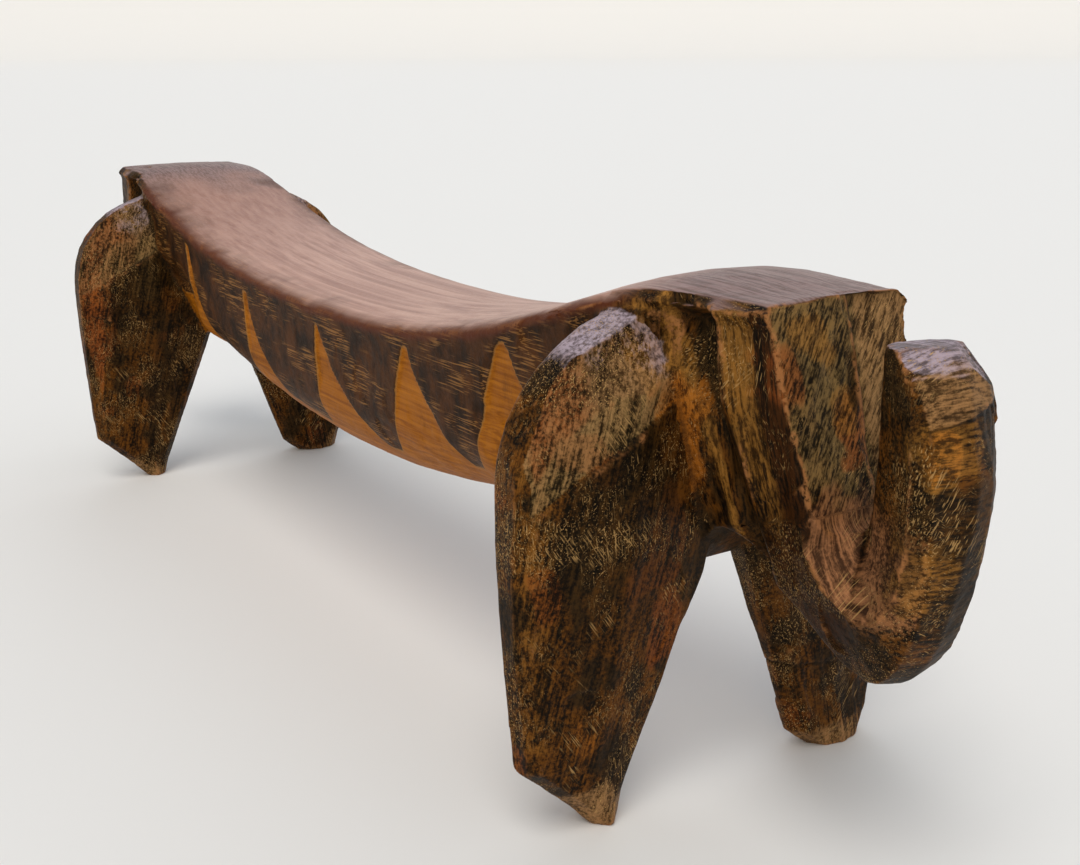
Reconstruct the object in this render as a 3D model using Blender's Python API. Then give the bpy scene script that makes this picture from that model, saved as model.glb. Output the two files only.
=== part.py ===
"""Carved wooden headrest stool: a saddle beam on four legs, with a curled hook at each end.

Frame: +X along the beam towards the front hook, +Z up, the feet stand on z = 0.
All sizes are in metres.
"""
import math

import bmesh
import bpy
from mathutils import Vector

# Overall
OVERALL_LENGTH = 0.5188      # over the two hooks

# Beam
END_HEIGHT = 0.1380          # level tops towards the two ends, along the middle
SADDLE_HEIGHT = 0.1086       # lowest point of the saddle
SADDLE_LOW_X = 0.0090        # where that lowest point lies
FRONT_LEVEL = 0.0426         # level stretch of the top at the front end
REAR_LEVEL = 0.0308          # and at the rear end
SADDLE_POWER = 2.3           # 2 is a parabola, more is flatter in the middle
RUN_OUT_SOFTNESS = 0.12      # rounding where the saddle meets the level ends, 0 is sharp
BELLY_HEIGHT = 0.0520        # lowest point of the belly
BELLY_END_HEIGHT = 0.0770    # underside of the beam where it meets the legs
BELLY_SETBACK = 0.0608       # the belly's curve stops this far before the end
BELLY_ROUNDNESS = 2.3        # 2 is an ellipse, more is squarer
NECK_RUN = 0.0470            # over this length the belly turns into the neck
NECK_ROUNDNESS = 16.0        # the neck's flanks run straight down to the hook's seat
ARCH_HEIGHT = 0.0630         # underside of the neck, top of the arch between two legs
ARCH_BLEND_BEFORE = 0.0080   # belly to arch, before the leg's inner face
ARCH_BLEND_AFTER = 0.0030    # and past it
BEAM_HALF_WIDTH = 0.0328     # top of the beam along the saddle
FRONT_END_HALF_WIDTH = 0.0216    # top of the beam at its front end
REAR_END_HALF_WIDTH = 0.0280     # and at its rear end
TAPER_RUN = 0.0718           # over this length the top narrows towards the ends
SIDE_DRAW_IN = 0.0025        # sides are this far inside the top edge
SIDE_HEIGHT = 0.0240         # flat stretch of the side under the top edge
EDGE_WEAR = 0.0025           # worn round on the top edges
CROWN = 0.0024               # rise of the top across its width
END_CROWN = 0.0006           # and at the two ends
CROWN_RUN = 0.0300           # over this length the crown fades towards the ends
UNDER_HALF_WIDTH = 0.0085    # flat underside of the neck, between the legs
END_RAKE = 0.0123            # the end face leans out by this much from top to foot
END_FACE_HEIGHT = 0.0470     # end face, from the level top down to its foot
VALLEY_OFFSET = 0.0060       # hollow between leg and neck crest, from the leg's face
VALLEY_HALF_RUN = 0.0075
VALLEY_DEPTH = 0.0055

# Legs
FRONT_NECK = 0.0393          # middle of the front pair to the end of the beam's top
REAR_NECK = 0.0419           # the same at the rear
LEG_RIDGE_DEPTH = 0.0240     # along X, over the ridges of the broad faces
LEG_EDGE_DEPTH = 0.0156      # along X, at the leg's inner and outer edges
FOOT_RIDGE_DEPTH = 0.0125    # the same two at the sole
FOOT_EDGE_DEPTH = 0.0095
LEG_BULGE_Y = 0.0620         # outermost point of the leg's flank
LEG_BULGE_HEIGHT = 0.0860
ANKLE_Y = 0.0575             # the flank's line carried down to the floor
ARCH_FOOT_Y = 0.0307         # the arch's line carried down to the floor
RIGHT_ARCH_Y = 0.0048        # flat top of the arch, from the middle plane to the right legs
LEFT_ARCH_Y = 0.0085         # and to the left legs
SHOULDER_DROP = 0.0062       # top of the shoulder below the beam's top
SHOULDER_Y = 0.0150          # where the shoulder's curve tops out, from the middle plane
SHOULDER_POWER = 2.5         # 2 is an ellipse, more is a fuller shoulder
EDGE_CUT = 0.0040            # knife cut along the leg's edges
LEG_ROOT_Y = 0.0030          # the leg is cut back from here to the beam's side
LEG_LEAST_WIDTH = 0.0040
RIGHT_SOLE_INNER_Y = 0.0307
RIGHT_SOLE_OUTER_Y = 0.0380
RIGHT_TOE_HEIGHT = 0.0200    # the outer corner of the sole is cut away up to here
LEFT_SOLE_INNER_Y = 0.0360
LEFT_SOLE_OUTER_Y = 0.0550
LEFT_TOE_HEIGHT = 0.0090
HEEL_HEIGHT = 0.0060         # the inner corner of the sole is cut away up to here
CRACK_HEIGHT = 0.0265        # break across the front left leg
CRACK_FALL = 0.0040          # the break falls by this much from inside to outside

# Hooks
HOOK_ROOT_HEIGHT = 0.0760    # where the keel of the hook leaves the neck, at the legs' faces
HOOK_BOTTOM_OUT = 0.0104     # foot of the end face to the hook's lowest point
HOOK_BOTTOM_HEIGHT = 0.0535
HOOK_FRONT_HEIGHT = 0.1040   # height of the outermost point
HOOK_TIP_HEIGHT = 0.1306
HOOK_TIP_SETBACK = 0.0115    # tip's outer edge, back from the outermost curve
HOOK_TIP_FALL = 0.0008       # tip's inner edge below its outer edge
SLOT_WIDTH = 0.0075          # foot of the end face to the arm
TROUGH_HEIGHT = 0.0865       # floor of the slot between arm and end face
ARM_DEPTH = 0.0228           # along X, at the outermost point
ARM_HALF_WIDTH = 0.0125      # across the arm's widest edges
ARM_LEAN = 0.0020            # the arm stands this far to the right of the middle plane
TIP_HALF_WIDTH = 0.0100
HOOK_HALF_WIDTH = 0.0163     # across the hook's upper edges, at the foot of the end face
HOOK_INNER_HALF_WIDTH = 0.0045
KEEL_HALF_WIDTH = 0.0078     # narrow underside of the hook
SEAT_EDGE_IN = 0.0055        # widest edge, from the inside of the hook, at the seat
ARM_EDGE_BACK = 0.0046       # widest edge, from the outside of the hook, on the arm
KEEL_ROUND = 0.0016          # the keel's middle stands this far out from its edges

JOIN_GAP = 0.0003            # clearance between neighbouring pieces

# Stages of the hook's run, 0 at the seat, 1 at its lowest point, 2 outermost, 3 at the tip
TURN_STAGES = (0.3, 2.0)     # its widest edge moves from the inside to the outside
LEAN_STAGES = (0.5, 2.0)     # it leans over
INNER_STAGES = (0.0, 1.4)    # its inside narrows
TIP_STAGES = (2.5, 3.0)      # it narrows to the tip

# Section counts
BEAM_STATIONS = 22
BELLY_STEPS = 8
SHANK_SECTIONS = 6
SHOULDER_SECTIONS = 10
HOOK_SECTIONS = 24

# Places along the stool that follow from the sizes above
HOOK_FRONT_X = OVERALL_LENGTH / 2
ARM_X = HOOK_FRONT_X - ARM_DEPTH
END_FOOT_X = ARM_X - SLOT_WIDTH
END_X = END_FOOT_X - END_RAKE
FRONT_LEG_X = END_X - FRONT_NECK
REAR_LEG_X = REAR_NECK - END_X
BELLY_RUN = END_X - BELLY_SETBACK


def smooth_step(start, end, value):
    """Ease from 0 at start to 1 at end."""
    share = min(1.0, max(0.0, (value - start) / (end - start)))
    return share * share * (3.0 - 2.0 * share)


def mix(first, second, share):
    return first + (second - first) * share


def soft_positive(value, rounding):
    """The larger of value and 0, with the corner rounded off."""
    return 0.5 * (value + math.hypot(value, rounding))


# Beam outline along X

def top_height(x):
    front_run = END_X - FRONT_LEVEL - SADDLE_LOW_X
    rear_run = END_X - REAR_LEVEL + SADDLE_LOW_X
    run = front_run if x > SADDLE_LOW_X else rear_run
    climb = (abs(x - SADDLE_LOW_X) / run) ** SADDLE_POWER
    dip = soft_positive(1.0 - climb, RUN_OUT_SOFTNESS)
    return END_HEIGHT - (END_HEIGHT - SADDLE_HEIGHT) * dip


def leg_face_x(x):
    """Distance from the middle to the outer face of the leg pair on the side of x."""
    return (FRONT_LEG_X if x > 0 else -REAR_LEG_X) + LEG_RIDGE_DEPTH / 2


def end_foot_height():
    return END_HEIGHT - END_FACE_HEIGHT


def end_lean(x):
    """How far the foot of the section at x leans out past its top."""
    return END_RAKE * smooth_step(END_X - END_RAKE, END_X, abs(x))


def seat_share(x):
    """Place of the foot of the section at x along the hook's seat: 0 at the legs, 1 at the end."""
    outer_face = leg_face_x(x)
    return (abs(x) + end_lean(x) - outer_face) / (END_FOOT_X - outer_face)


def crown(x):
    return mix(CROWN, END_CROWN, smooth_step(END_X - CROWN_RUN, END_X, abs(x)))


def under_height(x):
    """Underside of the beam: belly, roof of the arch between the legs, then the hook's seat."""
    outer_face = leg_face_x(x)
    if abs(x) >= outer_face:
        return mix(HOOK_ROOT_HEIGHT, end_foot_height(), seat_share(x))
    leg_middle = outer_face - LEG_RIDGE_DEPTH / 2
    if abs(x) >= leg_middle:
        return mix(ARCH_HEIGHT, HOOK_ROOT_HEIGHT, smooth_step(leg_middle, outer_face, abs(x)))
    climb = (abs(x - SADDLE_LOW_X) / BELLY_RUN) ** 2
    belly = mix(BELLY_HEIGHT, BELLY_END_HEIGHT, climb)
    inner_face = outer_face - LEG_RIDGE_DEPTH
    blend_start = inner_face - ARCH_BLEND_BEFORE
    return mix(belly, ARCH_HEIGHT, smooth_step(blend_start, inner_face + ARCH_BLEND_AFTER, abs(x)))


def top_half_width(x):
    end_half_width = FRONT_END_HALF_WIDTH if x > 0 else REAR_END_HALF_WIDTH
    return mix(BEAM_HALF_WIDTH, end_half_width, smooth_step(END_X - TAPER_RUN, END_X, abs(x)))


def side_half_width(x):
    offset = (abs(x) - leg_face_x(x) - VALLEY_OFFSET) / VALLEY_HALF_RUN
    valley = VALLEY_DEPTH * max(0.0, 1.0 - offset * offset)
    return top_half_width(x) - SIDE_DRAW_IN - valley


def under_half_width(x):
    """Flat underside of the neck, which widens over the hook's seat."""
    return mix(UNDER_HALF_WIDTH, HOOK_HALF_WIDTH, max(0.0, seat_share(x)))


def beam_ring(x, grow):
    """Section of the beam at x, set out by grow on every side."""
    half_top = top_half_width(x) + grow
    half_side = side_half_width(x) + grow
    rise = crown(x)
    top = top_height(x) - CROWN + rise + grow
    under = under_height(x) - grow
    neck = smooth_step(BELLY_RUN - NECK_RUN, BELLY_RUN, abs(x))
    power = mix(BELLY_ROUNDNESS, NECK_ROUNDNESS, neck)
    side_low = max(top - SIDE_HEIGHT, mix(under, top, 0.5))
    half_under = mix(half_side, under_half_width(x) + grow, neck)
    edge = top - rise - EDGE_WEAR
    outline = [(0.0, top), (half_top / 2, top - rise / 4)]
    outline += [(half_top - EDGE_WEAR, top - rise), (half_top, edge)]
    outline.append((half_side + SIDE_DRAW_IN / 4, edge - EDGE_WEAR))
    for step in range(BELLY_STEPS):
        angle = 0.5 * math.pi * step / BELLY_STEPS
        drop = math.sin(angle) ** (2.0 / power)
        half = half_side * math.cos(angle) ** (2.0 / power)
        outline.append((min(half, mix(half_side, half_under, drop)), mix(side_low, under, drop)))
    outline.append((0.0, under))
    lean = math.copysign(end_lean(x), x)
    points = [Vector((x + lean * (top - z) / (top - under), y, z)) for y, z in outline]
    mirrored = [Vector((p.x, -p.y, p.z)) for p in reversed(points[1:-1])]
    return points + mirrored


def beam_stations():
    """Places along X where the beam's section is set, closer together near the ends."""
    spread = [math.sin(0.5 * math.pi * i / BEAM_STATIONS) for i in range(BEAM_STATIONS + 1)]
    places = {end * END_X * share for share in spread for end in (-1, 1)}
    for centre_x in (FRONT_LEG_X, REAR_LEG_X):
        face_x = leg_face_x(centre_x)
        valley_x = face_x + VALLEY_OFFSET
        for x in (abs(centre_x), face_x, valley_x, valley_x + VALLEY_HALF_RUN):
            places.add(math.copysign(x, centre_x))
    return sorted(places)


# Legs: sections in XY, stacked along Z

def shoulder_height(centre_x):
    return top_height(centre_x) - SHOULDER_DROP


def leg_outer_y(z, centre_x, side):
    if z >= LEG_BULGE_HEIGHT:
        rise = (z - LEG_BULGE_HEIGHT) / (shoulder_height(centre_x) - LEG_BULGE_HEIGHT)
        return mix(SHOULDER_Y, LEG_BULGE_Y, math.sqrt(max(0.0, 1.0 - rise ** SHOULDER_POWER)))
    flank = mix(ANKLE_Y, LEG_BULGE_Y, math.sin(0.5 * math.pi * z / LEG_BULGE_HEIGHT))
    sole = LEFT_SOLE_OUTER_Y if side > 0 else RIGHT_SOLE_OUTER_Y
    toe = LEFT_TOE_HEIGHT if side > 0 else RIGHT_TOE_HEIGHT
    return min(flank, mix(sole, flank, min(1.0, z / toe)))


def leg_inner_y(z, side):
    arch_top = LEFT_ARCH_Y if side > 0 else RIGHT_ARCH_Y
    arch = mix(ARCH_FOOT_Y, arch_top, z / ARCH_HEIGHT)
    sole = LEFT_SOLE_INNER_Y if side > 0 else RIGHT_SOLE_INNER_Y
    return max(LEG_ROOT_Y, mix(sole, arch, min(1.0, z / HEEL_HEIGHT)))


def leg_half_depths(z):
    """Half depth along X over the ridges and at the edges."""
    low = smooth_step(0.0, LEG_BULGE_HEIGHT, z)
    ridge = mix(FOOT_RIDGE_DEPTH, LEG_RIDGE_DEPTH, low)
    edge = mix(FOOT_EDGE_DEPTH, LEG_EDGE_DEPTH, low)
    return ridge / 2, edge / 2


def leg_ring(z, centre_x, side):
    """Ridged section of a leg with knife-cut edges; side is +1 or -1 along Y."""
    outer = leg_outer_y(z, centre_x, side)
    inner = min(leg_inner_y(z, side), outer - LEG_LEAST_WIDTH)
    ridge, edge = leg_half_depths(z)
    cut = min(EDGE_CUT, (outer - inner) / 3)
    middle = mix(inner, outer, 0.5)
    corners = [
        (edge, inner + cut), (ridge, middle), (edge, outer - cut),
        (edge - cut, outer), (cut - edge, outer),
        (-edge, outer - cut), (-ridge, middle), (-edge, inner + cut),
        (cut - edge, inner), (edge - cut, inner),
    ]
    ring = [Vector((centre_x + x, side * y, z)) for x, y in corners]
    return ring if side > 0 else list(reversed(ring))


def leg_heights(low, high, side):
    """Section heights from low to high, clear of the sloping break, closer over the shoulder."""
    toe = LEFT_TOE_HEIGHT if side > 0 else RIGHT_TOE_HEIGHT
    even = [LEG_BULGE_HEIGHT * i / SHANK_SECTIONS for i in range(1, SHANK_SECTIONS)]
    least = low + CRACK_FALL if low > 0.0 else low
    most = high - CRACK_FALL if high < LEG_BULGE_HEIGHT else LEG_BULGE_HEIGHT
    heights = {z for z in even + [HEEL_HEIGHT, toe, ARCH_HEIGHT] if least < z < most}
    if high > LEG_BULGE_HEIGHT:
        for i in range(SHOULDER_SECTIONS):
            angle = 0.5 * math.pi * i / SHOULDER_SECTIONS
            heights.add(mix(LEG_BULGE_HEIGHT, high, math.sin(angle)))
    return [low] + sorted(heights) + [high]


def leg_rings(centre_x, side, low, high):
    return [leg_ring(z, centre_x, side) for z in leg_heights(low, high, side)]


def tilt_ring(ring):
    """Lay a ring on the sloping break across the leg."""
    inner = leg_inner_y(CRACK_HEIGHT, 1)
    outer = leg_outer_y(CRACK_HEIGHT, FRONT_LEG_X, 1)
    middle = mix(inner, outer, 0.5)
    width = outer - inner
    return [Vector((p.x, p.y, p.z - CRACK_FALL * (abs(p.y) - middle) / width)) for p in ring]


# Hooks: sections across a J-shaped run in the XZ plane

def ellipse_arc(centre, radii, start, end, share):
    angle = math.radians(mix(start, end, share))
    return (centre[0] + radii[0] * math.cos(angle), centre[1] + radii[1] * math.sin(angle))


def hook_section(stage, root_x):
    """Inner and outer point of the hook's run at a stage, in the XZ plane of the front hook."""
    bottom_x = END_FOOT_X + HOOK_BOTTOM_OUT
    trough_x = END_FOOT_X + SLOT_WIDTH / 2
    if stage <= 1.0:
        fall = smooth_step(0.0, 1.0, stage)
        outer = (mix(root_x, bottom_x, stage), mix(HOOK_ROOT_HEIGHT, HOOK_BOTTOM_HEIGHT, fall))
        radii = (trough_x - END_FOOT_X, end_foot_height() - TROUGH_HEIGHT)
        inner = ellipse_arc((trough_x, end_foot_height()), radii, 180, 270, stage)
    elif stage <= 2.0:
        radii = (HOOK_FRONT_X - bottom_x, HOOK_FRONT_HEIGHT - HOOK_BOTTOM_HEIGHT)
        outer = ellipse_arc((bottom_x, HOOK_FRONT_HEIGHT), radii, 270, 360, stage - 1.0)
        radii = (ARM_X - trough_x, HOOK_FRONT_HEIGHT - TROUGH_HEIGHT)
        inner = ellipse_arc((trough_x, HOOK_FRONT_HEIGHT), radii, 270, 360, stage - 1.0)
    else:
        tip_x = HOOK_FRONT_X - HOOK_TIP_SETBACK
        radii = (HOOK_TIP_SETBACK, HOOK_TIP_HEIGHT - HOOK_FRONT_HEIGHT)
        outer = ellipse_arc((tip_x, HOOK_FRONT_HEIGHT), radii, 0, 90, stage - 2.0)
        rise = math.sin(0.5 * math.pi * (stage - 2.0))
        inner = (ARM_X, mix(HOOK_FRONT_HEIGHT, HOOK_TIP_HEIGHT - HOOK_TIP_FALL, rise))
    return Vector((inner[0], 0.0, inner[1])), Vector((outer[0], 0.0, outer[1]))


def hook_ring(stage, end):
    """Faceted section of a hook; end is +1 for the front one and -1 for the rear one."""
    inner, outer = hook_section(stage, leg_face_x(end))
    depth = (outer - inner).length
    across = (outer - inner).normalized()
    turn = smooth_step(*TURN_STAGES, stage)
    edge = mix(SEAT_EDGE_IN, depth - ARM_EDGE_BACK, turn)
    half = mix(HOOK_HALF_WIDTH, ARM_HALF_WIDTH, turn)
    half = mix(half, TIP_HALF_WIDTH, smooth_step(*TIP_STAGES, stage))
    half_inner = mix(HOOK_HALF_WIDTH, HOOK_INNER_HALF_WIDTH, smooth_step(*INNER_STAGES, stage))
    keel = depth - KEEL_ROUND
    profile = [(depth, 0.0), (keel, KEEL_HALF_WIDTH), (edge, half), (0.0, half_inner)]
    profile += [(0.0, -half_inner), (edge, -half), (keel, -KEEL_HALF_WIDTH)]
    lean = ARM_LEAN * smooth_step(*LEAN_STAGES, stage)
    ring = []
    for out, y in profile:
        point = inner + across * out
        ring.append(Vector((end * point.x, y - lean, point.z)))
    return ring if end > 0 else list(reversed(ring))


def hook_rings(end):
    """Rings from the seat to the tip, with the first one a join gap off the beam's underside."""
    rings = [hook_ring(3.0 * i / HOOK_SECTIONS, end) for i in range(HOOK_SECTIONS + 1)]
    run = END_FOOT_X - leg_face_x(end)
    rise = end_foot_height() - HOOK_ROOT_HEIGHT
    off = Vector((end * rise, 0.0, -run)).normalized() * JOIN_GAP
    rings[0] = [p + off for p in rings[0]]
    return rings


# Building

def loft_mesh(name, rings):
    """Closed mesh through a row of rings with equal point counts."""
    shape = bmesh.new()
    rows = [[shape.verts.new(p) for p in ring] for ring in rings]
    count = len(rows[0])
    for low, high in zip(rows, rows[1:]):
        for i in range(count):
            j = (i + 1) % count
            shape.faces.new((low[i], low[j], high[j], high[i]))
    shape.faces.new(list(reversed(rows[0])))
    shape.faces.new(rows[-1])
    bmesh.ops.triangulate(shape, faces=shape.faces, quad_method="FIXED")
    bmesh.ops.recalc_face_normals(shape, faces=shape.faces)
    mesh = bpy.data.meshes.new(name)
    shape.to_mesh(mesh)
    shape.free()
    mesh.shade_smooth()
    mesh.set_sharp_from_angle(angle=math.radians(35))
    return mesh


def wood(name, colour, roughness):
    material = bpy.data.materials.new(name)
    material.use_nodes = True
    shader = material.node_tree.nodes["Principled BSDF"]
    shader.inputs["Base Color"].default_value = (*colour, 1.0)
    shader.inputs["Roughness"].default_value = roughness
    shader.inputs["Metallic"].default_value = 0.0
    return material


def add_piece(name, rings, material):
    piece = bpy.data.objects.new(name, loft_mesh(name, rings))
    piece.data.materials.append(material)
    bpy.context.scene.collection.objects.link(piece)
    return piece


def cut_with(piece, cutter):
    cut = piece.modifiers.new("seat", "BOOLEAN")
    cut.operation = "DIFFERENCE"
    cut.solver = "EXACT"
    cut.object = cutter


def build():
    for old in list(bpy.data.objects):
        bpy.data.objects.remove(old, do_unlink=True)
    worn = wood("worn_wood", (0.42, 0.25, 0.17), 0.42)
    burnt = wood("burnt_wood", (0.055, 0.033, 0.022), 0.5)

    stations = beam_stations()
    add_piece("saddle_beam", [beam_ring(x, 0.0) for x in stations], worn)
    clearance = add_piece("beam_clearance", [beam_ring(x, JOIN_GAP) for x in stations], worn)
    clearance.hide_render = True
    clearance.display_type = "WIRE"

    places = {
        "front_right_leg": (FRONT_LEG_X, -1), "rear_right_leg": (REAR_LEG_X, -1),
        "rear_left_leg": (REAR_LEG_X, 1),
    }
    for name, (centre_x, side) in places.items():
        rings = leg_rings(centre_x, side, 0.0, shoulder_height(centre_x))
        leg = add_piece(name, rings, burnt)
        cut_with(leg, clearance)

    top = shoulder_height(FRONT_LEG_X)
    broken = leg_rings(FRONT_LEG_X, 1, CRACK_HEIGHT + JOIN_GAP / 2, top)
    broken[0] = tilt_ring(broken[0])
    cut_with(add_piece("front_left_leg", broken, burnt), clearance)
    foot = leg_rings(FRONT_LEG_X, 1, 0.0, CRACK_HEIGHT - JOIN_GAP / 2)
    foot[-1] = tilt_ring(foot[-1])
    add_piece("front_left_foot", foot, burnt)

    add_piece("front_hook", hook_rings(1), burnt)
    add_piece("rear_hook", hook_rings(-1), burnt)


build()
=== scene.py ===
"""Looks of the carved headrest stool: a knife-cut wooden skin over the solids, worn on top.

Frame: +X along the beam towards the front hook, +Z up, the feet stand on z = 0.
Sizes are in metres, apart from those that are said to be in mm.
"""
import math

import bmesh
import bpy
import numpy as np
from mathutils import Matrix, Vector
from mathutils.bvhtree import BVHTree


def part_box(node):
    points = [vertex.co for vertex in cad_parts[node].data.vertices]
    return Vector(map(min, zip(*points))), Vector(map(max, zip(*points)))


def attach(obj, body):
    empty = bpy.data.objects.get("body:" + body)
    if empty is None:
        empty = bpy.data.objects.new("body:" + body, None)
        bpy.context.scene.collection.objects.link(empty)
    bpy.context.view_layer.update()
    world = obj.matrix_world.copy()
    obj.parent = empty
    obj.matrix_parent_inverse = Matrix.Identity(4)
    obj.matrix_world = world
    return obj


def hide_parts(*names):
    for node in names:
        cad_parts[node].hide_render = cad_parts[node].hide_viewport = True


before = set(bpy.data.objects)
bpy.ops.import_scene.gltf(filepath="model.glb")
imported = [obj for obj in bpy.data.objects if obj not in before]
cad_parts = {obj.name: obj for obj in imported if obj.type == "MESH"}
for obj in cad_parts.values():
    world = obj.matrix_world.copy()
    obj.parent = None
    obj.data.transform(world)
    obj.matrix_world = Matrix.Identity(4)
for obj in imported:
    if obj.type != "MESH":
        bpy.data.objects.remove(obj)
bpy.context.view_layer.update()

MM = 0.001

# A span, which fade reads, is a pair of places in mm: 0 at the first and 1 at the second.
# A wobble is a cell size and a swing, both in mm, and a seed.

# Skin
WELD = 0.001 * MM  # copies of one corner closer than this are one point
GROW = 0.35 * MM  # the solids swell by this much, so that their join gaps close
VOXEL = 1.25 * MM  # spacing of the skin's points along the beam
DETAIL_X = 148 * MM  # past this distance from the middle the spacing is halved
EVEN_ROUNDS = 4  # smoothing that takes out the grid's steps
BEAM_ROUNDS = 60  # further smoothing of the beam between the legs
CALM_SPAN = (-12, -24)  # it sets in over this stretch, from the legs' middle
CALM_EDGE, CALM_EDGE_HALF = 4.0 * MM, 5.0 * MM  # the beam's top edge is spared most of it
SEAM_BLUR, SEAM_ROUNDS = 24, 14  # reach and smoothing of the seams at the hooks
INNER_ROUNDS, HOOK_TIP = 40, (116, 124)  # smoothing of the hooks' inner sides and tips
MEMBER_BLUR, MEMBER_CORE = 8, (0.6, 0.97)  # how a member's cuts fade out at its joins
NECK_BLUR, NECK_CORE, NECK_START = 6, (0.5, 0.95), 6 * MM
BETWEEN_SPAN = (-12, -16)  # the beam between the legs starts here, from the legs' middle
TOP_SLICES = 160  # slices along the beam in which its top is looked up

# Beam side: golden flutes between dark tongues
# apex x, apex below the top edge, left sweep, right sweep, at FLUTE_FALL below the apex
FLUTES = (
    (-121, 5, 3, 17), (-59, 7, 3, 27), (6, 5, 4, 36), (71, 4, 15, 26), (126, 4, 17, 30),
)
FLUTE_FALL = 35 * MM
FLUTE_DEPTH = 1.0 * MM
FLUTE_SHIFT = 9.0  # the left side's flutes lie this much further on, in mm
FLUTE_BENDS = (0.7, 1.5)  # powers that bend the left and the right sweep
FLUTE_TIPS = (1.0 * MM, 1.5 * MM)
FLUTE_POINT = 0.7  # slope of the flutes' upper ends
FLUTE_WOBBLE = (14, 6, 9), 1.0, 3
FLUTE_EDGE, FLUTE_END = (-0.4, 1.6), (28, 40)
TONGUE_LENGTH = 41 * MM  # the dark tongues end this far below the top edge
TONGUE_SLOPE = 0.8
EDGE_DROP = 4.6 * MM  # top of the beam to the lower side of its worn edge

# Neck: leaning hollow and crest, as distances past the legs' middle
HOLLOW_OUT, HOLLOW_LEAN, HOLLOW_HALF, HOLLOW_DEPTH = 15.0 * MM, 0.22, 6.0 * MM, 2.6 * MM
CREST_OUT, CREST_LEAN, CREST_HALF, CREST_RISE = 26.3 * MM, 0.165, 5.0 * MM, 2.0 * MM
CREST_RUN = 7.0 * MM  # the crest falls off this slowly on its outer side
RIBBON_OUT, RIBBON_LEAN, RIBBON_HALF = 9.8 * MM, 0.195, 2.5 * MM
NECK_TOP = 130 * MM  # the lines above are given at this height
NECK_RISE, NECK_UNDER_TOP, NECK_END = (58, 70), (1.5, 5.0), (238, 226)

# End face
FACE_OUT, FACE_CLEAR = 28 * MM, 4 * MM
STEP_Y = 3.5 * MM  # the panel to the left of this line is cut back
STEP_DEPTH = 2.2 * MM
STEP_WOBBLE = 7, 0.5, 6
STEP_EDGE, STEP_RISE = (-0.4, 0.4), (86, 98)
STEP_RAMP, STEP_RETURN = (0, 16), 0.6  # past the step the panel comes out again by this share

# Legs
BEVEL_IN = 9.5 * MM  # knife bevel round the shoulder, from its outline
BEVEL_HALF_DEPTH = 8.7 * MM  # half the leg's thickness where the bevel starts
BEVEL_BACK = 0.35  # the bevel's width on a leg's rear face, as a share of the front's
BEVEL_TILT = math.radians(29)
BEVEL_ANGLES = (-5, 22, 45, 66, 86, 104)
BEVEL_SWAY, BEVEL_WIDTHS = 5, (0.85, 1.15)  # each cut's angle and width vary by this much
BEVEL_ROUNDS = 6
ROUND_TILT = math.radians(79)  # steeper cut that rounds the top of the shoulder
ROUND_BACK = 5 * MM  # it starts this far behind the leg's middle
ROUND_LAST = 70  # and stops at this angle, short of the beam
SHOULDER_MIDDLE = (20 * MM, 86 * MM)
CUT_AT, CUT_SLOPE, CUT_DEPTH, CUT_FADE = (22.5 * MM, 108 * MM), 0.6, 0.9 * MM, 11 * MM
CUT_WOBBLE = 9, 0.8, 5
CUT_EDGE = (-0.35, 0.35)
TOOL_MARK = (45 * MM, 37 * MM)  # small square cut on the front right leg: |y| and z
TOOL_MARK_HALF = (5.85 * MM, 4.16 * MM)
TOOL_MARK_DEPTH = 0.4 * MM
CRACK_BLUR, CRACK_DEPTH = 3, 1.0 * MM

# Hook arm: knife planes as point and normal, on the front hook, in mm
ARM_PLANES = (
    ((250.5, -6, 128.6), (0.50, -0.25, 0.83)), ((254.6, 3.5, 124.0), (0.62, 0.45, 0.64)),
    ((257.2, -5, 121.0), (0.94, -0.12, 0.32)), ((258.3, -5, 108.0), (0.985, -0.17, -0.03)),
    ((254.8, -12.4, 108.0), (0.50, -0.86, 0.05)),
)
ARM_LEDGE, ARM_LEDGE_RISE, ARM_LEDGE_DEPTH = 118 * MM, 0.17, 0.5 * MM
LEDGE_EDGE, LEDGE_RUN = (0.0, 0.6), (8, 16)
TROUGH_X = 246 * MM  # the hook's inner side lies within this distance from the middle
TROUGH_TOP = 110 * MM

# Chips knocked out of edges: middle, way out, long way, and length, width, depth, in mm
CHIPS = (
    ((181.5, -54.0, 112.0), (0.6, -0.6, 0.5), (0.0, 0.6, 0.8), (7.0, 2.6, 1.3)),
    ((178.0, -57.5, 107.0), (0.4, -0.8, 0.4), (0.3, 0.3, 0.9), (4.0, 2.0, 1.0)),
    ((214.0, -20.3, 132.0), (0.2, -0.8, 0.6), (1.0, 0.0, 0.0), (3.0, 1.6, 0.8)),
    ((226.0, -18.0, 101.0), (0.7, -0.7, 0.0), (0.3, 0.0, -1.0), (4.0, 1.6, 0.7)),
)

# Gouge marks: count, long way, range of lengths and range of depths in mm
LEG_GOUGES = 150, (0.0, 0.0, 1.0), (10, 24), (0.05, 0.18)
HOOK_GOUGES = 70, (0.3, 0.0, 1.0), (5, 11), (0.08, 0.3)
NECK_GOUGES = 90, (0.2, 0.0, 1.0), (5, 14), (0.06, 0.2)
SIDE_GOUGES = 160, (1.0, 0.0, 0.0), (9, 22), (0.05, 0.15)
GOUGE_WIDTHS = (0.4, 0.7)  # as shares of the length
GOUGE_TILT, GOUGE_SWAY = 0.05, 0.25
GOUGE_CORE = 0.9  # gouges start only where a member's share is above this
SCOOP_FACING, SCOOP_MOST = 0.3, 3.0  # a cut takes faces turned its way, to this many depths

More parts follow.
